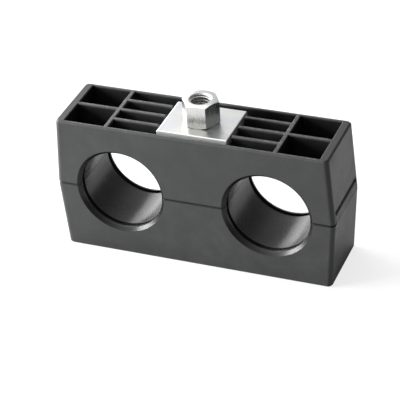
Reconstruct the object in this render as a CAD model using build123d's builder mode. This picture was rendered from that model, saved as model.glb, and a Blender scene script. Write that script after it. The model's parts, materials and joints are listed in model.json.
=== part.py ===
from build123d import *
import os
from math import tan, radians

# Twin tube clamp: two identical moulded halves, a cover plate and a stacking bolt.
# Millimetres. Z is up and Y runs along the tubes. The origin is the centre of the
# clamp's underside, so the clamp stands on Z = 0.

# ---- driving sizes: clamp half -------------------------------------------------
length = 106.0           # over both ends, at the split
width = 28.0             # along the tubes
half_height = 26.5       # split plane to outer face
end_draft = 3.9          # degrees that each end leans in, away from the split
corner_radius = 1.8      # upright corners
rim_chamfer = 0.6        # round the outer face
parting_chamfer = 0.4    # round the split face

# ---- tube bores ------------------------------------------------------------------
tube_spacing = 56.0
bore_diameter = 31.5
mouth_chamfer = 1.2
lip_land = 0.7           # gripping lip behind each mouth's chamfer
relief_width = 1.8       # relief groove behind each lip
relief_depth = 0.8

# ---- waffle of pockets in the outer face ---------------------------------------------
side_wall = 1.4
end_wall = 3.2
bore_wall = 3.0          # plastic over a bore
core_floor = 6.5         # solid depth above the split face
long_rib = 1.4           # ribs along X
cross_rib = 1.6          # rib across the width
cross_rib_x = 31.8
slot_rows = 4
pocket_edge = 0.25       # broken edges of the ribs and pockets

# ---- cover plate and its seat --------------------------------------------------------
plate_length = 26.5
plate_thickness = 3.0
plate_edge = 0.3
plate_hole_clearance = 1.0  # over the bolt's diameter
seat_depth = 3.0         # the plate lies flush with the outer face
seat_end_clearance = 0.5
seat_side_clearance = 2.1
seat_wall = 2.0

# ---- stacking bolt: M8 ---------------------------------------------------------------
bolt_diameter = 8.0
hex_across_flats = 12.0
hex_height = 9.0
hex_turn = 4.0           # degrees about Z, as the bolt happens to stand
tap_core_allowance = 1.2 # thread core under the bolt's diameter
tap_depth = 8.0
tap_chamfer = 0.7
bolt_tip_height = 2.0    # tip above the underside
tip_chamfer = 1.0
bolt_hole_clearance = 1.5  # over the bolt's diameter

# ---- well for the threaded boss of a weld plate --------------------------------------
well_diameter = 16.0
well_depth = 12.0
well_wall = 2.5

# ---- tongue and rebate that key the halves -------------------------------------------
tongue_height = 3.4
tongue_thickness = 2.4
tongue_clearance = 0.25
tongue_gap = 1.4         # left above a seated tongue
tongue_edge = 0.5

# ---- sizes that follow ---------------------------------------------------------------
height = 2 * half_height
lean = tan(radians(end_draft))
end_x = length / 2
bore_radius = bore_diameter / 2
relief_radius = bore_radius + relief_depth
relief_y = width / 2 - mouth_chamfer - lip_land - relief_width / 2
shell_radius = bore_radius + bore_wall
inner_width = width - 2 * side_wall
slot_pitch = (inner_width + long_rib) / slot_rows
slot_width = slot_pitch - long_rib
pocket_pitch = (inner_width + long_rib) / 2
pocket_width = pocket_pitch - long_rib
plate_width = inner_width - 2 * seat_side_clearance
plate_hole = bolt_diameter + plate_hole_clearance
seat_x = plate_length / 2 + seat_end_clearance
bolt_hole = bolt_diameter + bolt_hole_clearance
tap_drill = bolt_diameter - tap_core_allowance
boss_diameter = well_diameter + 2 * well_wall
tongue_width = width - 2 * (corner_radius + tongue_clearance + parting_chamfer)
rebate_depth = tongue_thickness + tongue_clearance
rebate_width = tongue_width + 2 * tongue_clearance
rebate_height = tongue_height + tongue_gap
plate_bottom = height - seat_depth
plate_top = plate_bottom + plate_thickness
shank_length = plate_top - bolt_tip_height


def end_face_x(z):
    """X of the drafted end face at a height z above the split face."""
    return end_x - z * lean


# ---- core of one tube bore: chamfered mouths and relief grooves, revolved about Y ----
with BuildPart() as bore_core:
    with BuildSketch():
        with Locations((bore_radius / 2, 0)):
            Rectangle(bore_radius, width)
        for side in (-1, 1):
            with Locations((relief_radius / 2, side * relief_y)):
                Rectangle(relief_radius, relief_width)
            with BuildLine():
                Polyline(
                    (0, side * width / 2),
                    (bore_radius + mouth_chamfer, side * width / 2),
                    (bore_radius, side * (width / 2 - mouth_chamfer)),
                    (0, side * (width / 2 - mouth_chamfer)),
                    close=True,
                )
            make_face()
    revolve(axis=Axis.Y)

# ---- cores of the waffle, cut back to leave the bore walls and the bolt boss ---------
with BuildPart() as waffle_core:
    # end pockets, two across the width, with a far wall parallel to the end face
    for row_y in (-pocket_pitch / 2, pocket_pitch / 2):
        with BuildSketch(Plane.XZ.offset(row_y)):
            with BuildLine():
                Polyline(
                    (cross_rib_x + cross_rib / 2, core_floor),
                    (end_face_x(core_floor) - end_wall, core_floor),
                    (end_face_x(half_height) - end_wall, half_height),
                    (cross_rib_x + cross_rib / 2, half_height),
                    close=True,
                )
            make_face()
        extrude(amount=pocket_width / 2, both=True)
    # narrow slots between the cross rib and the seat
    with BuildSketch(Plane.XY.offset(core_floor)):
        slot_start = seat_x
        slot_end = cross_rib_x - cross_rib / 2
        with Locations(((slot_start + slot_end) / 2, 0)):
            with GridLocations(0, slot_pitch, 1, slot_rows):
                Rectangle(slot_end - slot_start, slot_width)
    extrude(amount=half_height - core_floor)
    mirror(about=Plane.YZ)
    # the same slots under the cover plate
    with BuildSketch(Plane.XY.offset(core_floor)):
        with GridLocations(0, slot_pitch, 1, slot_rows):
            Rectangle(2 * (seat_x - seat_wall), slot_width)
    extrude(amount=half_height - core_floor)
    with Locations((-tube_spacing / 2, 0, 0), (tube_spacing / 2, 0, 0)):
        Cylinder(shell_radius, width, rotation=(90, 0, 0), mode=Mode.SUBTRACT)
    Cylinder(
        boss_diameter / 2,
        half_height,
        align=(Align.CENTER, Align.CENTER, Align.MIN),
        mode=Mode.SUBTRACT,
    )

# ---- one clamp half, standing on its split face ---------------------------------------
with BuildPart() as half:
    with BuildSketch(Plane.XZ):
        with BuildLine():
            Polyline(
                (-end_x, 0),
                (end_x, 0),
                (end_face_x(half_height), half_height),
                (-end_face_x(half_height), half_height),
                close=True,
            )
        make_face()
    extrude(amount=width / 2, both=True)
    upright_edges = half.edges().filter_by(lambda edge: abs(edge.tangent_at(0.5).Z) > 0.9)
    fillet(upright_edges, corner_radius)
    chamfer(half.faces().sort_by(Axis.Z)[-1].edges(), rim_chamfer)
    chamfer(half.faces().sort_by(Axis.Z)[0].edges(), parting_chamfer)

    add(waffle_core.part, mode=Mode.SUBTRACT)
    with BuildSketch(Plane.XY.offset(half_height)):
        Rectangle(2 * seat_x, inner_width)
    extrude(amount=-seat_depth, mode=Mode.SUBTRACT)
    outer_face = half.faces().sort_by(Axis.Z)[-1]
    for pocket_mouth in outer_face.inner_wires():
        chamfer(pocket_mouth.edges(), pocket_edge)
    with Locations((0, 0, half_height)):
        CounterBoreHole(bolt_hole / 2, well_diameter / 2, well_depth, depth=half_height)
    with Locations((-tube_spacing / 2, 0, 0), (tube_spacing / 2, 0, 0)):
        add(bore_core.part, mode=Mode.SUBTRACT)

    # rebate in the +X end, open to the split face and the end
    with BuildSketch():
        with Locations((end_x, 0)):
            Rectangle(2 * rebate_depth, rebate_width)
    extrude(amount=rebate_height, mode=Mode.SUBTRACT)

    # tongue under the -X end, flush with the end face of the other half
    with BuildSketch(Plane.XZ):
        with BuildLine():
            Polyline(
                (-end_x + tongue_thickness, core_floor / 2),
                (-end_x + tongue_thickness, -tongue_height),
                (-end_face_x(tongue_height) + tongue_edge, -tongue_height),
                (-end_face_x(tongue_height), -tongue_height + tongue_edge),
                (-end_face_x(parting_chamfer), -parting_chamfer),
                (-end_face_x(parting_chamfer), parting_chamfer),
                close=True,
            )
        make_face()
    extrude(amount=tongue_width / 2, both=True)

# ---- the two halves: one moulding, the lower one turned over about Y ------------------
with BuildPart() as upper_half:
    with Locations((0, 0, half_height)):
        add(half.part)
upper_half.part.label = "upper_half"

with BuildPart() as lower_half:
    with Locations(Location((0, 0, half_height), (0, 180, 0))):
        add(half.part)
lower_half.part.label = "lower_half"

# ---- cover plate, lying in the seat of the upper half ---------------------------------
with BuildPart() as cover_plate:
    with BuildSketch(Plane.XY.offset(plate_bottom)):
        Rectangle(plate_length, plate_width)
        Circle(plate_hole / 2, mode=Mode.SUBTRACT)
    extrude(amount=plate_thickness)
    chamfer(cover_plate.faces().sort_by(Axis.Z)[-1].outer_wire().edges(), plate_edge)
cover_plate.part.label = "cover_plate"

# ---- stacking bolt: tapped hexagon on an M8 shank -------------------------------------
with BuildPart() as stacking_bolt:
    with BuildSketch(Plane.XY.offset(plate_top)):
        RegularPolygon(hex_across_flats / 2, 6, major_radius=False, rotation=hex_turn)
    extrude(amount=hex_height)
    # both ends of the hexagon are turned to a 30 degree chamfer that reaches the flats
    with BuildSketch(Plane.XZ):
        corner_reach = hex_across_flats / 2 * (2 / 3**0.5)
        corner_drop = (corner_reach - hex_across_flats / 2) * tan(radians(30))
        with BuildLine():
            Polyline(
                (0, plate_top),
                (hex_across_flats / 2, plate_top),
                (corner_reach, plate_top + corner_drop),
                (corner_reach, plate_top + hex_height - corner_drop),
                (hex_across_flats / 2, plate_top + hex_height),
                (0, plate_top + hex_height),
                close=True,
            )
        make_face()
    revolve(axis=Axis.Z, mode=Mode.INTERSECT)
    with BuildSketch(Plane.XY.offset(plate_top)):
        Circle(bolt_diameter / 2)
    extrude(amount=-shank_length)
    tip_edge = stacking_bolt.faces().sort_by(Axis.Z)[0].edges()
    chamfer(tip_edge, tip_chamfer)
    with Locations((0, 0, plate_top + hex_height)):
        CounterSinkHole(tap_drill / 2, tap_drill / 2 + tap_chamfer, depth=tap_depth)
stacking_bolt.part.label = "stacking_bolt"

os.makedirs("parts", exist_ok=True)
for piece in (upper_half, lower_half, cover_plate, stacking_bolt):
    export_step(piece.part, f"parts/{piece.part.label}.step")
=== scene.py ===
"""Twin tube clamp: the finish of its moulded halves, plate and threaded bolt, and a studio."""
import json
from math import cos, pi, radians, sin, tan

import bpy
from mathutils import Matrix, Vector


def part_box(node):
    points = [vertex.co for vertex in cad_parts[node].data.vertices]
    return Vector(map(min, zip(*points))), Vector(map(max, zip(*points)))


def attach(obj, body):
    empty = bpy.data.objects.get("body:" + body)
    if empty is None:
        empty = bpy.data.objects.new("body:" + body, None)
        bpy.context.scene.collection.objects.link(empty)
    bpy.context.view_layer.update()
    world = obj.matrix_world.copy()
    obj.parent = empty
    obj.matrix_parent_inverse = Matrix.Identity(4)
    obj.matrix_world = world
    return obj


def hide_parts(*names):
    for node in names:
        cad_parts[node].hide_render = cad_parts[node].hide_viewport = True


bl_info = {
    "name": "Twin tube clamp",
    "version": (1, 0, 0),
    "blender": (4, 5, 0),
    "location": "View3D > Sidebar > Tube clamp",
    "description": "Builds the looks of a twin tube clamp over its packed frame",
    "category": "Object",
}

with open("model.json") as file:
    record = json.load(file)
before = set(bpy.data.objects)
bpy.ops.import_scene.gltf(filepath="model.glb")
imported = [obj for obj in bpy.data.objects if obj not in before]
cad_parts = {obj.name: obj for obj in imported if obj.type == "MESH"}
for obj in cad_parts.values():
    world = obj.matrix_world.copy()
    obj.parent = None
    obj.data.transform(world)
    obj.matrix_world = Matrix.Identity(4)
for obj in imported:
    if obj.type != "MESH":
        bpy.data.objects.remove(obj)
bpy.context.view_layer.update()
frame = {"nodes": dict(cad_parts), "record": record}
MM = 0.001
HALF_NODES = ("upper_half", "lower_half")

MOUNTS = {mount["name"]: mount for mount in frame["record"]["mounts"]}
BORE = MOUNTS["tube_bore_right"]
BORE_X = abs(BORE["pos_m"][0])
BORE_Z = BORE["pos_m"][2]
BORE_RADIUS = BORE["dims"]["r_mm"] * MM
END_DRAFT = radians(3.9)
TAP = MOUNTS["stacking_thread"]
BOLT_THREAD = MOUNTS["weld_plate_thread"]

# places on the clamp where its finish changes
WHOLE_BORE = 1.3 * MM               # past a bore's radius, so with its grooves
GRIPPING_WALL = 0.15 * MM           # past a bore's radius, so without its grooves
RIM_FADE, RIM_FULL = 1.0 * MM, 0.7 * MM     # below the outer face
END_RIMS = (46.0 * MM, 47.5 * MM)   # from the clamp's middle
THREAD_DEPTH = 0.6134               # of the pitch, for the thread on the shank

DUST_ON_PLASTIC = (0.30, 0.29, 0.27, 1.0)
DUST_ON_ZINC = (0.42, 0.40, 0.37, 1.0)
WHITE = (1.0, 1.0, 1.0, 1.0)

# scale along X, Y and Z of the noise that makes a metal's lines, and the lines' depth
ROLLED_LINES, ROLLED_LINE_DEPTH = (220.0, 5200.0, 5200.0), 0.00001
TURNED_LINES, TURNED_LINE_DEPTH = (4200.0, 4200.0, 260.0), 0.000012

# points nearer to each other than this become one, on turned bodies, threads and CAD copies
SEAM_MERGE, TURN_MERGE, TRIANGLE_MERGE = 1e-7, 1e-6, 2e-6
CUT_TOLERANCE = 1e-8                # a point nearer to a cutting plane lies on it

# each soft lamp's place, width and height, and watts
LAMPS = {
    "key": ((-0.35, 0.15, 0.90), (1.0, 0.8), 4.0),
    "left_front": ((-0.70, -0.33, 0.23), (0.42, 0.42), 13.5),
    "left_back": ((-0.73, 0.26, 0.23), (0.42, 0.42), 9.0),
    "bore_glow": ((-0.55, 0.55, 0.23), (0.42, 0.42), 2.0),
    "edge_glint": ((-0.36, -0.43, 0.59), (0.42, 0.42), 0.5),
}


# ---- what a user may change ------------------------------------------------------------
class ClampPlasticSettings(bpy.types.PropertyGroup):
    colour: bpy.props.FloatVectorProperty(
        name="Colour",
        description="Colour of the grained outer faces",
        subtype="COLOR",
        default=(0.062, 0.065, 0.063),
        min=0.0,
        max=1.0,
    )
    # painted shade: a darker colour for the pockets, the seat and the bores' grooves
    inner_shade_colour: bpy.props.FloatVectorProperty(
        name="Inner colour",
        description="Colour of the clean plastic in the pockets, the seat and the bores' grooves",
        subtype="COLOR",
        default=(0.018, 0.0185, 0.018),
        min=0.0,
        max=1.0,
    )
    bore_colour: bpy.props.FloatVectorProperty(
        name="Bore colour",
        description="Colour of the polished walls of the tube bores",
        subtype="COLOR",
        default=(0.045, 0.046, 0.045),
        min=0.0,
        max=1.0,
    )
    # a paler colour for edges and rib tops, partly worn and partly a painted highlight
    wear_and_highlight_colour: bpy.props.FloatVectorProperty(
        name="Edge colour",
        description="Paler colour of the rubbed edges",
        subtype="COLOR",
        default=(0.23, 0.232, 0.226),
        min=0.0,
        max=1.0,
    )
    roughness: bpy.props.FloatProperty(
        name="Roughness",
        description="Roughness of the spark-eroded outer faces",
        default=0.44,
        min=0.0,
        max=1.0,
    )
    bore_roughness: bpy.props.FloatProperty(
        name="Bore roughness",
        description="Roughness where the mould's core pins were polished",
        default=0.24,
        min=0.0,
        max=1.0,
    )
    grain_size: bpy.props.FloatProperty(
        name="Grain size",
        description="Size of one spark-eroded grain",
        default=0.00035,
        unit="LENGTH",
    )
    grain_depth: bpy.props.FloatProperty(
        name="Grain depth",
        description="Depth of the spark-eroded grain",
        default=0.00003,
        unit="LENGTH",
    )
    edge_radius: bpy.props.FloatProperty(
        name="Edge radius",
        description="Radius that moulding leaves on every sharp edge",
        default=0.00015,
        unit="LENGTH",
    )


class ZincSettings(bpy.types.PropertyGroup):
    colour: bpy.props.FloatVectorProperty(
        name="Colour",
        description="Colour of the bright zinc plating",
        subtype="COLOR",
        default=(0.62, 0.625, 0.63),
        min=0.0,
        max=1.0,
    )
    roughness: bpy.props.FloatProperty(
        name="Roughness",
        description="Roughness of the plating",
        default=0.27,
        min=0.0,
        max=1.0,
    )
    edge_radius: bpy.props.FloatProperty(
        name="Edge radius",
        description="Radius that punching and plating leave on the plate's edges",
        default=0.00025,
        unit="LENGTH",
    )


class StackingBoltSettings(bpy.types.PropertyGroup):
    across_flats: bpy.props.FloatProperty(
        name="Across flats",
        description="Width of the hexagon over its flats",
        default=0.012,
        unit="LENGTH",
    )
    turn: bpy.props.FloatProperty(
        name="Turn",
        description="How far the hexagon is turned about the bolt",
        default=radians(4),
        subtype="ANGLE",
    )
    pitch: bpy.props.FloatProperty(
        name="Pitch",
        description="Pitch of the thread outside and in the hexagon",
        default=0.00125,
        unit="LENGTH",
    )
    thread_length: bpy.props.FloatProperty(
        name="Thread length",
        description="Length of the thread at the tip",
        default=0.030,
        unit="LENGTH",
    )
    tip_chamfer: bpy.props.FloatProperty(
        name="Tip chamfer",
        description="Chamfer at the tip",
        default=0.001,
        unit="LENGTH",
    )
    tap_depth: bpy.props.FloatProperty(
        name="Tap depth",
        description="Depth of the tapped hole in the hexagon",
        default=0.008,
        unit="LENGTH",
    )
    tap_chamfer: bpy.props.FloatProperty(
        name="Tap chamfer",
        description="Countersink at the mouth of the tapped hole",
        default=0.0007,
        unit="LENGTH",
    )


class StudioSettings(bpy.types.PropertyGroup):
    azimuth: bpy.props.FloatProperty(
        name="Azimuth",
        description="Camera's angle round the clamp, from the front",
        default=radians(23.81),
        subtype="ANGLE",
    )
    elevation: bpy.props.FloatProperty(
        name="Elevation",
        description="Camera's angle above the horizon",
        default=radians(33.63),
        subtype="ANGLE",
    )
    roll: bpy.props.FloatProperty(
        name="Roll",
        description="Camera's turn about its own axis",
        default=radians(-4.385),
        subtype="ANGLE",
    )
    distance: bpy.props.FloatProperty(
        name="Distance",
        description="From the camera to the clamp",
        default=0.6682,
        unit="LENGTH",
    )
    focal_length: bpy.props.FloatProperty(
        name="Focal length",
        description="Camera's focal length in millimetres",
        default=166.6,
    )
    aim_height: bpy.props.FloatProperty(
        name="Aim height",
        description="Height of the point that the camera looks at",
        default=0.027,
        unit="LENGTH",
    )
    aim_right: bpy.props.FloatProperty(
        name="Aim right",
        description="How far the clamp stands right of the camera's axis",
        default=0.002333,
        unit="LENGTH",
    )
    aim_up: bpy.props.FloatProperty(
        name="Aim up",
        description="How far the clamp stands above the camera's axis",
        default=0.006467,
        unit="LENGTH",
    )
    floor_colour: bpy.props.FloatVectorProperty(
        name="Floor colour",
        description="Colour of the pale floor",
        subtype="COLOR",
        default=(0.32, 0.32, 0.32),
        min=0.0,
        max=1.0,
    )
    floor_lift: bpy.props.FloatProperty(
        name="Floor lift",
        description="White that the floor adds where it is seen directly or mirrored",
        default=0.78,
        min=0.0,
        max=1.0,
    )


# ---- modelling helpers -----------------------------------------------------------------
def deselect_all():
    if bpy.context.object and bpy.context.object.mode != "OBJECT":
        bpy.ops.object.mode_set(mode="OBJECT")
    bpy.ops.object.select_all(action="DESELECT")


def make_active(piece):
    deselect_all()
    piece.select_set(True)
    bpy.context.view_layer.objects.active = piece


def apply_modifier(piece, kind, **values):
    """Adds a modifier, sets its values and applies it."""
    make_active(piece)
    modifier = piece.modifiers.new(kind.title(), kind)
    for name, value in values.items():
        setattr(modifier, name, value)
    bpy.ops.object.modifier_apply(modifier=modifier.name)


def draw_profile(name, points):
    """An open chain of edges through (radius, height) points, extruded one by one from a vertex."""
    deselect_all()
    bpy.ops.mesh.primitive_plane_add(size=MM)
    profile = bpy.context.object
    profile.name = name
    bpy.ops.object.mode_set(mode="EDIT")
    bpy.ops.mesh.select_all(action="SELECT")
    bpy.ops.mesh.merge(type="CENTER")
    radius, height = points[0]
    bpy.ops.transform.translate(value=(radius, 0, height))
    for (radius, height), (next_radius, next_height) in zip(points, points[1:]):
        step = (next_radius - radius, 0, next_height - height)
        bpy.ops.mesh.extrude_region_move(TRANSFORM_OT_translate={"value": step})
    bpy.ops.object.mode_set(mode="OBJECT")
    return profile


def lathe(name, points, steps=96):
    """A closed turned body: the profile starts and ends on the Z axis and is spun round it."""
    body = draw_profile(name, points)
    make_active(body)
    bpy.ops.object.mode_set(mode="EDIT")
    bpy.ops.mesh.select_all(action="SELECT")
    bpy.ops.mesh.spin(steps=steps, angle=2 * pi, center=(0, 0, 0), axis=(0, 0, 1))
    bpy.ops.mesh.select_all(action="SELECT")
    bpy.ops.mesh.remove_doubles(threshold=SEAM_MERGE)
    bpy.ops.mesh.normals_make_consistent(inside=False)
    bpy.ops.object.mode_set(mode="OBJECT")
    return body


def thread_body(name, core, crest, pitch, low, high, steps=64):
    """A screw thread of 60 degrees as a closed solid, cut flat at its low and high ends."""
    flank = (crest - core) * tan(radians(30))
    crest_flat = pitch / 8
    root_flat = pitch - crest_flat - 2 * flank
    turn = [
        (core, 0),
        (core, root_flat),
        (crest, root_flat + flank),
        (crest, root_flat + flank + crest_flat),
        (core, pitch),
    ]
    run_in, spare_turns = 1.2, 4
    start = low - run_in * pitch - pitch / steps / 3  # no corner of a turn lies in an end's plane
    body = draw_profile(name, [(radius, height + start) for radius, height in turn])
    turns = int((high - low) / pitch) + spare_turns
    apply_modifier(
        body,
        "SCREW",
        steps=steps,
        render_steps=steps,
        screw_offset=pitch,
        iterations=turns,
        angle=2 * pi,
        use_merge_vertices=False,
    )
    bpy.ops.object.mode_set(mode="EDIT")
    bpy.ops.mesh.select_all(action="SELECT")
    bpy.ops.mesh.remove_doubles(threshold=TURN_MERGE)
    for height, upward in ((low, False), (high, True)):
        bpy.ops.mesh.select_all(action="SELECT")
        bpy.ops.mesh.bisect(
            plane_co=(0, 0, height),
            plane_no=(0, 0, 1),
            use_fill=True,
            clear_inner=not upward,
            clear_outer=upward,
            threshold=CUT_TOLERANCE,
        )
    bpy.ops.mesh.select_all(action="SELECT")
    bpy.ops.mesh.normals_make_consistent(inside=False)
    bpy.ops.object.mode_set(mode="OBJECT")
    return body


def combine(piece, tool, operation):
    """Applies an exact boolean with the tool and removes the tool."""
    apply_modifier(piece, "BOOLEAN", object=tool, operation=operation, solver="EXACT")
    bpy.data.objects.remove(tool, do_unlink=True)


def place_in_mesh(piece):
    """Leaves the object at the origin, unturned and unscaled, with its place in its mesh."""
    make_active(piece)
    bpy.ops.object.transform_apply(location=True, rotation=True, scale=True)


def smooth_by_angle(piece, degrees):
    make_active(piece)
    bpy.ops.object.shade_smooth_by_angle(angle=radians(degrees))


def rounded_copy(node_name, name, radius):
    """A copy of a CAD node with its triangles merged and every sharp edge rounded."""
    flat, sharp, smooth = 0.5, 28, 35  # degrees between faces
    node = frame["nodes"][node_name]
    piece = node.copy()
    piece.data = node.data.copy()
    piece.name = name
    bpy.context.collection.objects.link(piece)
    piece.parent = None
    make_active(piece)
    bpy.ops.object.mode_set(mode="EDIT")
    bpy.ops.mesh.select_all(action="SELECT")
    bpy.ops.mesh.remove_doubles(threshold=TRIANGLE_MERGE)
    bpy.ops.mesh.dissolve_limited(angle_limit=radians(flat))
    bpy.ops.object.mode_set(mode="OBJECT")
    apply_modifier(
        piece,
        "BEVEL",
        width=radius,
        segments=2,
        limit_method="ANGLE",
        angle_limit=radians(sharp),
        use_clamp_overlap=True,
        loop_slide=False,
    )
    low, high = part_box(node_name)  # no rounded corner may reach past either end
    for vertex in piece.data.vertices:
        vertex.co.x = min(high.x, max(low.x, vertex.co.x))
    smooth_by_angle(piece, smooth)
    apply_modifier(piece, "WEIGHTED_NORMAL", keep_sharp=True, weight=90)
    piece.data.materials.clear()
    return piece


# ---- node helpers ------------------------------------------------------------------------
def add_node(tree, kind, **values):
    node = tree.nodes.new(kind)
    for name, value in values.items():
        setattr(node, name, value)
    return node


def feed(tree, socket, value):
    """Sets a number or a colour on the socket, or links another socket to it."""
    if isinstance(value, (int, float, tuple)):
        socket.default_value = value
    else:
        tree.links.new(value, socket)


def math_node(tree, operation, *values):
    """A Math node. Each value is a number or a socket."""
    node = add_node(tree, "ShaderNodeMath", operation=operation)
    for socket, value in zip(node.inputs, values):
        feed(tree, socket, value)
    return node.outputs[0]


def ramp(tree, value, low, high, out_low=0.0, out_high=1.0):
    """A smooth step of the value from low to high."""
    node = add_node(tree, "ShaderNodeMapRange", interpolation_type="SMOOTHSTEP")
    labels = ("Value", "From Min", "From Max", "To Min", "To Max")
    for label, given in zip(labels, (value, low, high, out_low, out_high)):
        feed(tree, node.inputs[label], given)
    return node.outputs["Result"]


def noise(tree, vector, scale, detail=3.0, roughness=0.5):
    """Noise from 0 to 1. The scale is a number or a socket."""
    node = add_node(tree, "ShaderNodeTexNoise")
    labels = ("Vector", "Scale", "Detail", "Roughness")
    for label, given in zip(labels, (vector, scale, detail, roughness)):
        feed(tree, node.inputs[label], given)
    return node.outputs["Fac"]


def mix_colour(tree, factor, first, second):
    """Mixes two colours, each a tuple or a socket."""
    node = add_node(tree, "ShaderNodeMix", data_type="RGBA")
    tree.links.new(factor, node.inputs["Factor"])
    for label, value in (("A", first), ("B", second)):
        socket = [s for s in node.inputs if s.name == label and s.type == "RGBA"][0]
        feed(tree, socket, value)
    return [s for s in node.outputs if s.type == "RGBA"][0]


def bump(tree, height, strength, distance, below=None):
    """The normal of a bump, laid over another normal if there is one."""
    node = add_node(tree, "ShaderNodeBump")
    node.inputs["Strength"].default_value = strength
    node.inputs["Distance"].default_value = distance
    tree.links.new(height, node.inputs["Height"])
    if below is not None:
        tree.links.new(below, node.inputs["Normal"])
    return node.outputs["Normal"]


def split_axes(tree, vector):
    """X, Y and Z of a vector."""
    node = add_node(tree, "ShaderNodeSeparateXYZ")
    tree.links.new(vector, node.inputs[0])
    return node.outputs


def facing_axes(tree):
    """X, Y and Z of the surface's normal."""
    return split_axes(tree, add_node(tree, "ShaderNodeNewGeometry").outputs["Normal"])


def plane_distance(tree, first, second):
    """Length of a flat vector from its two parts."""
    first_square = math_node(tree, "MULTIPLY", first, first)
    squares = math_node(tree, "MULTIPLY_ADD", second, second, first_square)
    return math_node(tree, "SQRT", squares)


def opaque(colour, factor=1.0):
    return tuple(min(1.0, channel * factor) for channel in colour) + (1.0,)


def two_tones(tree, mask, colour, dark, pale):
    """The colour times one factor where the mask is 0 and times another where it is 1."""
    return mix_colour(tree, mask, opaque(colour, dark), opaque(colour, pale))


# ---- shared effects ------------------------------------------------------------------------
def new_group(name, inputs, output):
    """A node group that takes a vector and the given floats and has one float output.

    Returns the group, the sockets of its inputs and the socket of its output.
    """
    group = bpy.data.node_groups.new(name, "ShaderNodeTree")
    group.interface.new_socket("Vector", in_out="INPUT", socket_type="NodeSocketVector")
    for label, default in inputs.items():
        socket = group.interface.new_socket(label, in_out="INPUT", socket_type="NodeSocketFloat")
        socket.default_value = default
    group.interface.new_socket(output, in_out="OUTPUT", socket_type="NodeSocketFloat")
    given = add_node(group, "NodeGroupInput").outputs
    return group, given, add_node(group, "NodeGroupOutput").inputs[output]


def edge_wear_and_highlight_group():
    """Mask that is 1 along convex and concave edges, broken up by noise."""
    if "Edge wear" in bpy.data.node_groups:
        return bpy.data.node_groups["Edge wear"]
    inputs = {"Radius": 0.0004, "Breakup scale": 900.0}
    group, given, mask = new_group("Edge wear", inputs, "Mask")
    rounded = add_node(group, "ShaderNodeBevel", samples=6)
    group.links.new(given["Radius"], rounded.inputs["Radius"])
    geometry = add_node(group, "ShaderNodeNewGeometry")
    agreement = add_node(group, "ShaderNodeVectorMath", operation="DOT_PRODUCT")
    group.links.new(rounded.outputs["Normal"], agreement.inputs[0])
    group.links.new(geometry.outputs["Normal"], agreement.inputs[1])
    on_a_face, on_an_edge = 0.999, 0.86
    edge = ramp(group, agreement.outputs["Value"], on_a_face, on_an_edge)
    breakup = noise(group, given["Vector"], given["Breakup scale"], detail=4.0, roughness=0.6)
    plain_edge, pale_edge = 0.22, 0.60
    broken = ramp(group, breakup, plain_edge, pale_edge)
    group.links.new(math_node(group, "MULTIPLY", edge, broken), mask)
    return group


def cloudiness_group():
    """Slow change of tone over a surface, from 0 to 1, with a finer mottle over it."""
    if "Cloudiness" in bpy.data.node_groups:
        return bpy.data.node_groups["Cloudiness"]
    inputs = {"Scale": 40.0, "Fine share": 0.35}
    group, given, value = new_group("Cloudiness", inputs, "Value")
    times_finer = 9.0
    dark_noise, pale_noise = 0.34, 0.66
    broad = noise(group, given["Vector"], given["Scale"], detail=2.0)
    fine_scale = math_node(group, "MULTIPLY", given["Scale"], times_finer)
    fine = noise(group, given["Vector"], fine_scale, detail=5.0, roughness=0.62)
    fine_part = math_node(group, "MULTIPLY", fine, given["Fine share"])
    broad_share = math_node(group, "SUBTRACT", 1.0, given["Fine share"])
    total = math_node(group, "MULTIPLY_ADD", broad, broad_share, fine_part)
    group.links.new(ramp(group, total, dark_noise, pale_noise), value)
    return group


def dust_group():
    """Specks of pale dust that lie on upward faces."""
    if "Dust" in bpy.data.node_groups:
        return bpy.data.node_groups["Dust"]
    inputs = {"Amount": 0.3, "Speck scale": 1600.0}
    group, given, mask = new_group("Dust", inputs, "Mask")
    steep, level = 0.35, 0.95
    upward = ramp(group, facing_axes(group)["Z"], steep, level)
    specks = noise(group, given["Vector"], given["Speck scale"], detail=2.0)
    no_speck, speck = 0.62, 0.74
    sparse = ramp(group, specks, no_speck, speck)
    drift_scale, no_drift, drift = 70.0, 0.42, 0.70
    drifts = noise(group, given["Vector"], drift_scale, roughness=0.55)
    drifted = ramp(group, drifts, no_drift, drift)
    both = math_node(group, "MULTIPLY", sparse, drifted)
    lying = math_node(group, "MULTIPLY", both, upward)
    group.links.new(math_node(group, "MULTIPLY", lying, given["Amount"]), mask)
    return group


def crevice_shade_group():
    """Mask that is 1 deep in narrow gaps and corners, from ambient occlusion; it paints shade
    there.
    """
    if "Crevice shade" in bpy.data.node_groups:
        return bpy.data.node_groups["Crevice shade"]
    inputs = {"Distance": 0.0012, "Open share": 0.72}
    group, given, mask = new_group("Crevice shade", inputs, "Mask")
    openness = add_node(group, "ShaderNodeAmbientOcclusion", samples=8)
    group.links.new(given["Distance"], openness.inputs["Distance"])
    shade_breakup_scale, shade_breakup_share = 420.0, 0.16
    shade_breakup = noise(group, given["Vector"], shade_breakup_scale, roughness=0.6)
    uneven = math_node(group, "MULTIPLY_ADD", shade_breakup, shade_breakup_share, openness.outputs["AO"])
    uneven = math_node(group, "SUBTRACT", uneven, shade_breakup_share / 2)
    of_open_face = math_node(group, "DIVIDE", uneven, given["Open share"])
    # 0 where the occlusion reads open, 1 where the mask paints full shade
    clean, fully_shaded = 1.0, 0.35
    group.links.new(ramp(group, of_open_face, clean, fully_shaded), mask)
    return group


def place_group(tree, group, vector, **values):
    """Places a shared effect in a material, with its own values."""
    node = add_node(tree, "ShaderNodeGroup", node_tree=group)
    tree.links.new(vector, node.inputs["Vector"])
    for name, value in values.items():
        node.inputs[name.replace("_", " ")].default_value = value
    return node.outputs[0]


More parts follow.
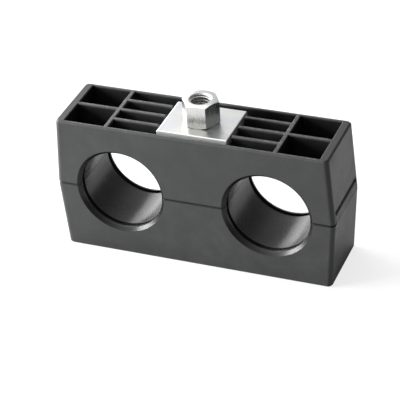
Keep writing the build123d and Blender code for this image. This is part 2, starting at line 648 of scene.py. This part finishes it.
def new_material(name):
    """A material with a Principled shader; returns it, its tree, the shader and coordinates."""
    material = bpy.data.materials.new(name)
    material.use_nodes = True
    tree = material.node_tree
    shader = tree.nodes["Principled BSDF"]
    coordinates = add_node(tree, "ShaderNodeTexCoord").outputs["Object"]
    return material, tree, shader, coordinates


# ---- masks by place on the clamp -----------------------------------------------------------
def both_halves_box():
    """Low corner of the lower half and high corner of the upper half."""
    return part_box("lower_half")[0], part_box("upper_half")[1]


def distance_from_middle(tree, place):
    """Distance along X from the clamp's middle."""
    return math_node(tree, "ABSOLUTE", place["X"])


def distance_from_split(tree, place):
    """Distance above or below the plane where the halves meet."""
    low, high = both_halves_box()
    above = math_node(tree, "SUBTRACT", place["Z"], (low.z + high.z) / 2)
    return math_node(tree, "ABSOLUTE", above)


def shelter_mask(tree, place):
    """1 in the pockets, bores and seat, 0 on the outer faces that the hull's planes touch."""
    low, high = both_halves_box()
    from_split = distance_from_split(tree, place)
    to_outer_face = math_node(tree, "SUBTRACT", (high.z - low.z) / 2, from_split)
    to_side = math_node(tree, "SUBTRACT", high.y, math_node(tree, "ABSOLUTE", place["Y"]))
    leaning = math_node(tree, "MULTIPLY", from_split, tan(END_DRAFT))
    reach = math_node(tree, "ADD", distance_from_middle(tree, place), leaning)
    to_end = math_node(tree, "SUBTRACT", high.x, reach)
    to_faces = math_node(tree, "MINIMUM", to_outer_face, to_side)
    nearest = math_node(tree, "MINIMUM", to_faces, to_end)
    outer, sheltered = 0.55 * MM, 0.95 * MM
    return ramp(tree, nearest, outer, sheltered)


def near_top(tree, place):
    """1 within a millimetre of the top face, 0 below it."""
    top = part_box("upper_half")[1].z
    return ramp(tree, place["Z"], top - RIM_FADE, top - RIM_FULL)


def near_outer_face(tree, place):
    """1 within a millimetre of the top and underside, 0 between them."""
    low, high = both_halves_box()
    half_height = (high.z - low.z) / 2
    from_split = distance_from_split(tree, place)
    return ramp(tree, from_split, half_height - RIM_FADE, half_height - RIM_FULL)


def rim_mask(tree, place):
    """1 on the flat tops of the walls and ribs at the top and the underside."""
    leaning, flat = 0.85, 0.97
    level = ramp(tree, math_node(tree, "ABSOLUTE", facing_axes(tree)["Z"]), leaning, flat)
    return math_node(tree, "MULTIPLY", level, near_outer_face(tree, place))


def joint_mask(tree, place):
    """1 in the groove that the chamfers of both halves make round the split."""
    outside, inside = 0.60 * MM, 0.38 * MM
    return ramp(tree, distance_from_split(tree, place), outside, inside)


def bore_mask(tree, place, margin):
    """1 on surfaces up to a margin outside the radius of either tube bore, 0 beyond."""
    across = math_node(tree, "SUBTRACT", distance_from_middle(tree, place), BORE_X)
    above = math_node(tree, "SUBTRACT", place["Z"], BORE_Z)
    limit, fade = BORE_RADIUS + margin, 0.1 * MM
    return ramp(tree, plane_distance(tree, across, above), limit + fade, limit - fade)


# ---- materials ---------------------------------------------------------------------------
def plastic_colour(tree, coordinates, place, settings, clouds, sheltered):
    """Mottled outer faces, painted shade in the pockets, darker end rims, and paler rib tops and
    edges that are partly worn and partly painted highlight.
    """
    mottle = place_group(tree, cloudiness_group(), coordinates, Scale=150.0, Fine_share=0.5)
    gripping_walls = bore_mask(tree, place, GRIPPING_WALL)
    outer = two_tones(tree, clouds, settings.colour, 0.90, 1.10)
    patchy = mix_colour(tree, mottle, opaque(settings.colour, 0.78), outer)
    # painted shade: the pockets, the seat and the bores' grooves take the darker colour
    shaded_inner = two_tones(tree, clouds, settings.inner_shade_colour, 0.85, 1.3)
    bore = two_tones(tree, mottle, settings.bore_colour, 0.8, 1.2)
    toned = mix_colour(tree, sheltered, patchy, mix_colour(tree, gripping_walls, shaded_inner, bore))

    rims = rim_mask(tree, place)
    at_ends = ramp(tree, distance_from_middle(tree, place), *END_RIMS)
    end_rims = math_node(tree, "MULTIPLY", rims, at_ends)
    # the tops of the end walls take a darker colour
    darker_end_rims = mix_colour(tree, end_rims, toned, opaque(settings.inner_shade_colour, 2.0))

    # paler patches on the rib tops: partly worn, partly a painted highlight
    patch_scale, unpatched, fully_patched, patch_share = 620.0, 0.40, 0.66, 0.4
    patches = ramp(tree, noise(tree, coordinates, patch_scale, roughness=0.6), unpatched, fully_patched)
    worn_and_highlit_ribs = math_node(tree, "MULTIPLY", math_node(tree, "SUBTRACT", rims, end_rims), patches)
    worn_and_highlit_ribs = math_node(tree, "MULTIPLY", worn_and_highlit_ribs, patch_share)
    ribs = mix_colour(tree, worn_and_highlit_ribs, darker_end_rims, opaque(settings.wear_and_highlight_colour))

    # paler edges: partly worn, partly a painted highlight that is stronger along the top
    wear_and_highlight = place_group(tree, edge_wear_and_highlight_group(), coordinates, Radius=0.0004)
    wear_and_highlight_everywhere, more_wear_and_highlight_at_top = 0.25, 0.70
    top = near_top(tree, place)
    wear_and_highlight_share = math_node(tree, "MULTIPLY_ADD", top, more_wear_and_highlight_at_top, wear_and_highlight_everywhere)
    wear_and_highlight_share = math_node(tree, "MULTIPLY", wear_and_highlight_share, math_node(tree, "SUBTRACT", 1.0, end_rims))
    worn_and_highlit = math_node(tree, "MULTIPLY", wear_and_highlight, wear_and_highlight_share)
    return mix_colour(tree, worn_and_highlit, ribs, opaque(settings.wear_and_highlight_colour))


def plastic_grain(tree, coordinates, settings, sheltered, bores):
    """Normal of the spark-eroded grain, faint where the mould was polished, over slow sinks."""
    grain = add_node(tree, "ShaderNodeTexVoronoi", feature="SMOOTH_F1")
    grain.inputs["Scale"].default_value = 1 / settings.grain_size
    grain.inputs["Smoothness"].default_value = 0.6
    tree.links.new(coordinates, grain.inputs["Vector"])
    fine_scale, fine_share = 1.7 / settings.grain_size, 0.6
    fine_grain = noise(tree, coordinates, fine_scale, roughness=0.6)
    texture = math_node(tree, "MULTIPLY_ADD", fine_grain, fine_share, grain.outputs["Distance"])
    pocket_polish, polish_share = 0.6, 0.88
    in_pockets = math_node(tree, "MULTIPLY", sheltered, pocket_polish)
    polished = math_node(tree, "MAXIMUM", in_pockets, bores)
    grain_left = math_node(tree, "MULTIPLY_ADD", polished, -polish_share, 1.0)
    height = math_node(tree, "MULTIPLY", texture, grain_left)

    sink_scale, sink_depth = 120.0, 0.0003
    sinks = noise(tree, coordinates, sink_scale, detail=2.0, roughness=0.4)
    sunken = bump(tree, sinks, strength=0.25, distance=sink_depth)
    return bump(tree, height, strength=0.55, distance=settings.grain_depth, below=sunken)


def clamp_plastic(settings):
    """Dark grey polypropylene: spark-eroded outside, polished in the bores; painted shade in the
    pockets and crevices, and paler edges that are partly worn and partly painted highlight.
    """
    material, tree, shader, coordinates = new_material("clamp_plastic")
    place = split_axes(tree, coordinates)
    clouds = place_group(tree, cloudiness_group(), coordinates, Scale=32.0, Fine_share=0.4)
    dust = place_group(tree, dust_group(), coordinates, Amount=0.35)
    # painted shade in narrow gaps and corners
    crevice_shade = place_group(tree, crevice_shade_group(), coordinates)
    bores = bore_mask(tree, place, WHOLE_BORE)
    sheltered = math_node(tree, "MAXIMUM", shelter_mask(tree, place), bores)

    clean = plastic_colour(tree, coordinates, place, settings, clouds, sheltered)
    dusted = mix_colour(tree, dust, clean, DUST_ON_PLASTIC)
    # painted shade in crevices, and the dark joint between the halves
    shade_and_joints = math_node(tree, "MAXIMUM", crevice_shade, joint_mask(tree, place))
    with_shade_and_joints = mix_colour(tree, shade_and_joints, dusted, opaque(settings.inner_shade_colour, 0.3))
    tree.links.new(with_shade_and_joints, shader.inputs["Base Color"])
    shader.inputs["Specular IOR Level"].default_value = 0.30

    bore_change, dust_roughness = 0.06, 0.3
    smoothest, roughest = settings.roughness - 0.05, settings.roughness + 0.06
    outside = ramp(tree, clouds, 0.0, 1.0, smoothest, roughest)
    inside = math_node(tree, "MULTIPLY_ADD", clouds, bore_change, settings.bore_roughness)
    difference = math_node(tree, "SUBTRACT", inside, outside)
    blended = math_node(tree, "MULTIPLY_ADD", difference, bores, outside)
    roughness = math_node(tree, "MULTIPLY_ADD", dust, dust_roughness, blended)
    tree.links.new(roughness, shader.inputs["Roughness"])

    grain = plastic_grain(tree, coordinates, settings, sheltered, bores)
    tree.links.new(grain, shader.inputs["Normal"])
    return material


def turned_lines(tree, coordinates, lines):
    """The given lines, but rings round the Z axis on faces that look up or down."""
    place = split_axes(tree, coordinates)
    radial = plane_distance(tree, place["X"], place["Y"])
    rings_per_metre = 9000.0
    ring_place = add_node(tree, "ShaderNodeCombineXYZ")
    tree.links.new(math_node(tree, "MULTIPLY", radial, rings_per_metre), ring_place.inputs["X"])
    rings = noise(tree, ring_place.outputs[0], 1.0, detail=2.0)
    leaning, flat = 0.80, 0.97
    on_top = ramp(tree, math_node(tree, "ABSOLUTE", facing_axes(tree)["Z"]), leaning, flat)
    change = math_node(tree, "SUBTRACT", rings, lines)
    return math_node(tree, "MULTIPLY_ADD", change, on_top, lines)


def zinc_finish(name, settings, stretch, line_depth, turned=False, sheared=False):
    """Bright zinc on steel with drawn or turned lines, a passivation tint and paler edges that are
    partly worn and partly painted highlight.
    """
    material, tree, shader, coordinates = new_material(name)
    shader.inputs["Metallic"].default_value = 1.0
    clouds = place_group(tree, cloudiness_group(), coordinates, Scale=95.0, Fine_share=0.45)
    wear_and_highlight = place_group(tree, edge_wear_and_highlight_group(), coordinates, Radius=0.0003, Breakup_scale=1400.0)
    dust = place_group(tree, dust_group(), coordinates, Amount=0.25, Speck_scale=2200.0)

    cool_tint, warm_tint = (0.93, 0.96, 1.0), (1.04, 1.02, 0.96)
    cool = tuple(c * tint for c, tint in zip(settings.colour, cool_tint))
    warm = tuple(c * tint for c, tint in zip(settings.colour, warm_tint))
    tinted = mix_colour(tree, clouds, opaque(cool), opaque(warm))
    # paler edges: partly worn, partly a painted highlight
    bright = mix_colour(tree, wear_and_highlight, tinted, opaque(settings.colour, 1.25))
    dusted = mix_colour(tree, dust, bright, DUST_ON_ZINC)
    tree.links.new(dusted, shader.inputs["Base Color"])

    stretched = add_node(tree, "ShaderNodeMapping")
    stretched.inputs["Scale"].default_value = stretch
    tree.links.new(coordinates, stretched.inputs["Vector"])
    lines = noise(tree, stretched.outputs["Vector"], 1.0, detail=4.0, roughness=0.65)
    if turned:
        lines = turned_lines(tree, coordinates, lines)

    line_low, line_high, dust_roughness = 0.25, 0.75, 0.4
    smoothest, roughest = settings.roughness - 0.06, settings.roughness + 0.10
    plain = ramp(tree, lines, line_low, line_high, smoothest, roughest)
    if sheared:
        rolled_roughness, cut_roughness, cut_dullness = 0.05, 0.35, 0.6
        leaning, upright = 0.30, 0.10
        cut = ramp(tree, math_node(tree, "ABSOLUTE", facing_axes(tree)["Z"]), leaning, upright)
        rolled = math_node(tree, "ADD", plain, rolled_roughness)
        plain = math_node(tree, "MULTIPLY_ADD", cut, cut_roughness, rolled)
        metallic = math_node(tree, "MULTIPLY_ADD", cut, -cut_dullness, 1.0)
        tree.links.new(metallic, shader.inputs["Metallic"])
    roughness = math_node(tree, "MULTIPLY_ADD", dust, dust_roughness, plain)
    tree.links.new(roughness, shader.inputs["Roughness"])

    peel_scale, peel_share = 2600.0, 0.35
    orange_peel = noise(tree, coordinates, peel_scale, detail=2.0)
    height = math_node(tree, "MULTIPLY_ADD", orange_peel, peel_share, lines)
    lined = bump(tree, height, strength=0.5, distance=line_depth)
    tree.links.new(lined, shader.inputs["Normal"])
    return material


def mirrored_rays(tree, rays):
    """1 for rays that come by way of a gloss or through something clear."""
    return math_node(
        tree, "MAXIMUM", rays.outputs["Is Glossy Ray"], rays.outputs["Is Transmission Ray"]
    )


def floor_material(colour, lift):
    """Pale matte floor that reads white to the camera and keeps the clamp's shadow.

    Glossy faces mirror it less where the clamp shades it and far to the right.
    """
    material, tree, shader, coordinates = new_material("studio_floor")
    paper_scale, paper_tone = 6.0, 0.985
    paper_noise = noise(tree, coordinates, paper_scale, detail=2.0)
    paper = two_tones(tree, paper_noise, colour, paper_tone, 1.0)
    tree.links.new(paper, shader.inputs["Base Color"])
    shader.inputs["Roughness"].default_value = 0.9
    shader.inputs["Specular IOR Level"].default_value = 0.1
    shader.inputs["Emission Color"].default_value = WHITE

    openness = add_node(tree, "ShaderNodeAmbientOcclusion", samples=8)
    openness.inputs["Distance"].default_value = 0.05
    shaded, unshaded = 0.35, 0.95
    open_floor = ramp(tree, openness.outputs["AO"], shaded, unshaded)
    bright_until, dim_from, dim_share = 0.03, 0.25, 0.3
    x_place = split_axes(tree, coordinates)["X"]
    away_from_lamps = ramp(tree, x_place, bright_until, dim_from, 1.0, dim_share)
    reflected = math_node(tree, "MULTIPLY", open_floor, away_from_lamps)
    rays = add_node(tree, "ShaderNodeLightPath")
    mirrored = math_node(tree, "MULTIPLY", mirrored_rays(tree, rays), reflected)
    seen = math_node(tree, "MAXIMUM", rays.outputs["Is Camera Ray"], mirrored)
    tree.links.new(math_node(tree, "MULTIPLY", seen, lift), shader.inputs["Emission Strength"])
    return material


# ---- parts of the stacking bolt ------------------------------------------------------------
def hexagon_head(settings, bottom, top):
    """The hexagon, turned at both ends to a 30 degree chamfer that reaches the flats."""
    inscribed = settings.across_flats / 2
    corner = inscribed / cos(radians(30))
    top_circle = inscribed * 0.97   # the chamfer reaches a little into the flats
    turned = corner * 1.02          # the blank stands clear of the corners
    drop = (turned - top_circle) * tan(radians(30))
    deselect_all()
    bpy.ops.mesh.primitive_cylinder_add(
        vertices=6,
        radius=corner,
        depth=top - bottom + 2 * MM,
        location=(0, 0, (top + bottom) / 2),
        rotation=(0, 0, settings.turn + radians(30)),
    )
    head = bpy.context.object
    head.name = "stacking_bolt_cut"
    place_in_mesh(head)
    blank = lathe(
        "hexagon_blank",
        [
            (0, bottom),
            (top_circle, bottom),
            (turned, bottom + drop),
            (turned, top - drop),
            (top_circle, top),
            (0, top),
        ],
    )
    combine(head, blank, "INTERSECT")
    return head


def threaded_end(settings, low, high, core, crest):
    """The thread on the shank, from its chamfered tip upward."""
    thread = thread_body("shank_thread", core, crest, settings.pitch, low - MM, high)
    clear = crest * 1.1             # the blank leaves the thread whole above the tip
    blank = lathe(
        "tip_blank",
        [
            (0, low),
            (crest - settings.tip_chamfer, low),
            (crest, low + settings.tip_chamfer),
            (clear, high),
            (clear, high + MM),
            (0, high + MM),
        ],
    )
    combine(thread, blank, "INTERSECT")
    return thread


def plain_shank(thread_end, top, core, crest):
    """The plain part of the shank, necked where it goes into the thread."""
    neck, spare = core * 0.9, 0.1 * MM
    radius = crest * 0.998          # just inside the thread's crests
    return lathe(
        "plain_shank",
        [
            (0, thread_end - MM),
            (neck, thread_end - MM),
            (neck, thread_end + spare),
            (radius, thread_end + spare + crest - neck),
            (radius, top),
            (0, top),
        ],
    )


def cut_tapped_hole(bolt, settings, top, crest):
    """Cuts the threaded hole in the bolt's top and its countersunk mouth."""
    hole, hole_floor = TAP["dims"]["r_mm"] * MM, top - settings.tap_depth
    tap_crest, tap_steps = crest * 1.01, 48
    tap = thread_body("tap", hole, tap_crest, settings.pitch, hole_floor, top + MM, tap_steps)
    combine(bolt, tap, "DIFFERENCE")
    mouth, reach = settings.tap_chamfer, 0.5 * MM
    countersink = lathe(
        "countersink",
        [
            (0, top - mouth - reach),
            (hole - reach, top - mouth - reach),
            (hole + 2 * mouth, top + mouth),
            (0, top + mouth),
        ],
    )
    combine(bolt, countersink, "DIFFERENCE")


# ---- pieces ------------------------------------------------------------------------------
class CLAMP_OT_finish_halves(bpy.types.Operator):
    """Rounds every moulded edge of both clamp halves and gives them their plastic"""

    bl_idname = "clamp.finish_halves"
    bl_label = "Moulded halves"

    def execute(self, context):
        settings = context.scene.clamp_plastic
        plastic = clamp_plastic(settings)
        for node_name in HALF_NODES:
            half = rounded_copy(node_name, f"{node_name}_moulding", settings.edge_radius)
            half.data.materials.append(plastic)
            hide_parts(node_name)
            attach(half, "root")
        return {"FINISHED"}


class CLAMP_OT_finish_plate(bpy.types.Operator):
    """Rounds the cover plate's punched edges and gives it zinc with the lines of rolled sheet"""

    bl_idname = "clamp.finish_plate"
    bl_label = "Cover plate"

    def execute(self, context):
        settings = context.scene.clamp_zinc
        plate = rounded_copy("cover_plate", "cover_plate_punched", settings.edge_radius)
        plate.data.materials.append(
            zinc_finish("plate_zinc", settings, ROLLED_LINES, ROLLED_LINE_DEPTH, sheared=True)
        )
        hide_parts("cover_plate")
        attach(plate, "root")
        return {"FINISHED"}


class CLAMP_OT_build_bolt(bpy.types.Operator):
    """Models the stacking bolt: chamfered hexagon, cut threads outside and in the tapped hole"""

    bl_idname = "clamp.build_bolt"
    bl_label = "Stacking bolt"

    def execute(self, context):
        settings = context.scene.clamp_bolt
        low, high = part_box("stacking_bolt")
        plate_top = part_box("cover_plate")[1].z
        crest = BOLT_THREAD["dims"]["r_mm"] * MM
        core = crest - THREAD_DEPTH * settings.pitch
        thread_end = low.z + settings.thread_length
        overlap, smooth = 0.3 * MM, 32  # of shank and hexagon; degrees between faces

        bolt = hexagon_head(settings, plate_top, high.z)
        thread = threaded_end(settings, low.z, thread_end, core, crest)
        shank = plain_shank(thread_end, plate_top + overlap, core, crest)
        combine(bolt, shank, "UNION")
        combine(bolt, thread, "UNION")
        cut_tapped_hole(bolt, settings, high.z, crest)
        smooth_by_angle(bolt, smooth)
        zinc = zinc_finish(
            "bolt_zinc", context.scene.clamp_zinc, TURNED_LINES, TURNED_LINE_DEPTH, turned=True
        )
        bolt.data.materials.clear()
        bolt.data.materials.append(zinc)
        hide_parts("stacking_bolt")
        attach(bolt, "root")
        return {"FINISHED"}


# ---- studio --------------------------------------------------------------------------------
def softbox(name, location, size, energy, target):
    """A rectangular area lamp aimed at the target."""
    data = bpy.data.lights.new(name, "AREA")
    data.shape = "RECTANGLE"
    data.size, data.size_y = size
    data.energy = energy
    lamp = bpy.data.objects.new(name, data)
    bpy.context.collection.objects.link(lamp)
    lamp.location = location
    aim = Vector(target) - Vector(location)
    lamp.rotation_euler = aim.to_track_quat("-Z", "Y").to_euler()
    lamp.visible_camera = False


def studio_surroundings():
    """White to the camera; paler to the left in a gloss, and lighter from behind as a lamp."""
    world = bpy.data.worlds.new("studio_surroundings")
    world.use_nodes = True
    tree = world.node_tree
    background = tree.nodes["Background"]
    direction = split_axes(tree, add_node(tree, "ShaderNodeTexCoord").outputs["Generated"])
    left, right, left_glow, right_glow = -0.1, 0.65, 0.85, 0.25
    room = ramp(tree, direction["X"], left, right, left_glow, right_glow)
    front, rear, front_light, rear_light = -0.2, 0.7, 0.03, 0.30
    behind = ramp(tree, direction["Y"], front, rear, front_light, rear_light)
    rays = add_node(tree, "ShaderNodeLightPath")
    extra = math_node(tree, "SUBTRACT", room, behind)
    around = math_node(tree, "MULTIPLY_ADD", extra, mirrored_rays(tree, rays), behind)
    strength = math_node(tree, "MAXIMUM", around, rays.outputs["Is Camera Ray"])
    tree.links.new(strength, background.inputs["Strength"])
    background.inputs["Color"].default_value = WHITE
    return world


def studio_camera(settings, middle):
    """A camera that looks down at the middle from its azimuth and elevation."""
    azimuth, elevation, roll = settings.azimuth, settings.elevation, settings.roll
    back = Vector((sin(azimuth) * cos(elevation), -cos(azimuth) * cos(elevation), sin(elevation)))
    level = Vector((cos(azimuth), sin(azimuth), 0))
    upright = back.cross(level)
    right = cos(roll) * level + sin(roll) * upright
    up = cos(roll) * upright - sin(roll) * level
    place = Vector(middle) + back * settings.distance
    place -= right * settings.aim_right + up * settings.aim_up
    data = bpy.data.cameras.new("camera")
    data.sensor_width = 36.0
    data.lens = settings.focal_length
    data.clip_start = 0.01
    data.clip_end = 20.0
    camera = bpy.data.objects.new("camera", data)
    bpy.context.collection.objects.link(camera)
    turn = Matrix((right, up, back)).transposed().to_4x4()
    camera.matrix_world = Matrix.Translation(place) @ turn
    return camera


class CLAMP_OT_build_studio(bpy.types.Operator):
    """Adds the pale floor, the soft lamps, the surroundings and the camera"""

    bl_idname = "clamp.build_studio"
    bl_label = "Studio"

    def execute(self, context):
        settings = context.scene.clamp_studio
        deselect_all()
        bpy.ops.mesh.primitive_plane_add(size=6.0)
        floor = context.object
        floor.name = "studio_floor"
        floor.data.materials.append(floor_material(settings.floor_colour, settings.floor_lift))

        middle = (0, 0, settings.aim_height)
        for name, (location, size, energy) in LAMPS.items():
            softbox(name, location, size, energy, middle)
        context.scene.world = studio_surroundings()
        context.scene.camera = studio_camera(settings, middle)
        context.scene.view_settings.view_transform = "Standard"
        return {"FINISHED"}


class CLAMP_PT_panel(bpy.types.Panel):
    bl_idname = "CLAMP_PT_panel"
    bl_label = "Twin tube clamp"
    bl_space_type = "VIEW_3D"
    bl_region_type = "UI"
    bl_category = "Tube clamp"

    def draw(self, context):
        for group_name, operator in (
            ("clamp_plastic", CLAMP_OT_finish_halves),
            ("clamp_zinc", CLAMP_OT_finish_plate),
            ("clamp_bolt", CLAMP_OT_build_bolt),
            ("clamp_studio", CLAMP_OT_build_studio),
        ):
            box = self.layout.box()
            settings = getattr(context.scene, group_name)
            for name in settings.__annotations__:
                box.prop(settings, name)
            box.operator(operator.bl_idname)


SETTINGS = {
    "clamp_plastic": ClampPlasticSettings,
    "clamp_zinc": ZincSettings,
    "clamp_bolt": StackingBoltSettings,
    "clamp_studio": StudioSettings,
}
OPERATORS = (
    CLAMP_OT_finish_halves,
    CLAMP_OT_finish_plate,
    CLAMP_OT_build_bolt,
    CLAMP_OT_build_studio,
)


def register():
    for name, group in SETTINGS.items():
        bpy.utils.register_class(group)
        setattr(bpy.types.Scene, name, bpy.props.PointerProperty(type=group))
    for operator in OPERATORS:
        bpy.utils.register_class(operator)
    bpy.utils.register_class(CLAMP_PT_panel)


def unregister():
    bpy.utils.unregister_class(CLAMP_PT_panel)
    for operator in reversed(OPERATORS):
        bpy.utils.unregister_class(operator)
    for name, group in SETTINGS.items():
        delattr(bpy.types.Scene, name)
        bpy.utils.unregister_class(group)


def main():
    register()
    bpy.ops.clamp.finish_halves()
    bpy.ops.clamp.finish_plate()
    bpy.ops.clamp.build_bolt()
    bpy.ops.clamp.build_studio()


if __name__ == "__main__":
    main()
